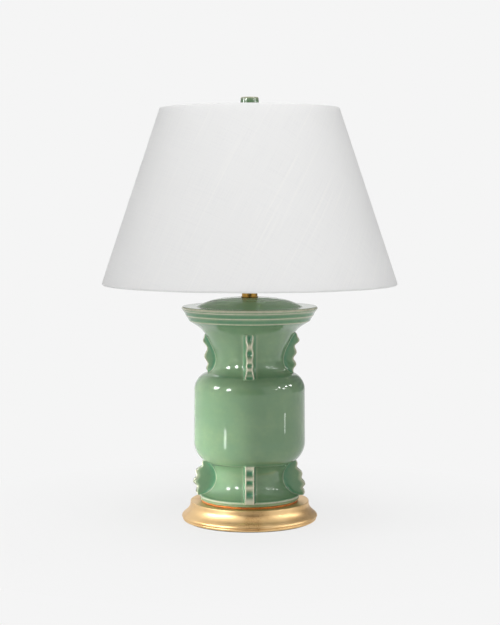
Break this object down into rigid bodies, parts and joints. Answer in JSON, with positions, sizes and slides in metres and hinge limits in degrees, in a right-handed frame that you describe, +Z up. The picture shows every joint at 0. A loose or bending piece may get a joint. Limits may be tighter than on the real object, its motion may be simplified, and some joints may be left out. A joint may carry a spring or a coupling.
{
  "type": "table lamp",
  "caption": "Table lamp on a celadon ceramic jar with notched fins, gilded turned base, brass neck, tapered white linen shade and ceramic finial.",
  "frame": {"origin": "middle of the felt pad's underside, on the lamp's axis", "axes": "+Z up along the lamp's axis, +Y to the back, where the cord leaves the base, +X to the right seen from the front"},
  "size_m": [0.4582, 0.4582, 0.6593],
  "materials": {
    "felt": "matte",
    "gilding": "satin",
    "bole": "satin",
    "celadon": "glossy",
    "brass": "polished",
    "steel": "plain",
    "bushing_plastic": "matte",
    "fibre": "matte",
    "moulding": "matte",
    "copper": "plain",
    "bulb_white": "satin",
    "bulb_metal": "satin",
    "bulb_black": "glossy",
    "board": "satin",
    "linen": "matte",
    "liner": "matte"
  },
  "bodies": {
    "lamp": {"felt_pad": "felt", "gilt_base": "gilding", "cord_bushing": "bushing_plastic", "base_washer": "steel", "base_lock_nut": "brass", "centre_pipe": "steel", "vase_seat_ring": "bole", "vase_body": "celadon", "vase_lid": "celadon", "neck_check_ring": "brass", "brass_neck": "brass", "harp_saddle": "brass", "harp_bow": "brass", "harp_stud": "brass", "holder_cap": "brass", "holder_set_screw": "steel", "holder_shell": "brass", "holder_liner": "fibre", "holder_insulator": "moulding", "holder_terminal_screws": "brass", "holder_screw_shell": "brass", "holder_centre_contact": "copper"},
    "sleeve_left": {"harp_sleeve_left": "brass"},
    "sleeve_right": {"harp_sleeve_right": "brass"},
    "switch": {"switch_shaft": "brass", "switch_key": "moulding"},
    "bulb": {"bulb_contact": "bulb_metal", "bulb_insulator": "bulb_black", "bulb_cap": "bulb_metal", "bulb_collar": "bulb_white", "bulb_light_board": "board", "bulb_globe": "bulb_white"},
    "shade": {"shade_linen": "linen", "shade_backing": "liner", "shade_top_ring": "steel", "shade_bottom_ring": "steel", "shade_spider": "brass"},
    "finial": {"finial_base": "brass", "finial_ring": "brass", "finial_cap": "celadon"}
  },
  "joints": [
    {"name": "shade_spin", "type": "hinge", "parent": "lamp", "child": "shade", "pos_m": [0, 0, 0.6244], "axis": [0, 0, 1], "continuous": true},
    {"name": "finial_turn", "type": "hinge", "parent": "lamp", "child": "finial", "pos_m": [0, 0, 0.64], "axis": [0, 0, 1], "continuous": true},
    {"name": "switch_turn", "type": "hinge", "parent": "lamp", "child": "switch", "pos_m": [0, -0.02, 0.4275], "axis": [0, -1, 0], "continuous": true},
    {"name": "bulb_turn", "type": "hinge", "parent": "lamp", "child": "bulb", "pos_m": [0, 0, 0.45], "axis": [0, 0, 1], "continuous": true},
    {"name": "sleeve_left_slide", "type": "slide", "parent": "lamp", "child": "sleeve_left", "axis": [0, 0, 1], "range_m": [0, 0.012]},
    {"name": "sleeve_right_slide", "type": "slide", "parent": "lamp", "child": "sleeve_right", "axis": [0, 0, 1], "range_m": [0, 0.012]}
  ]
}
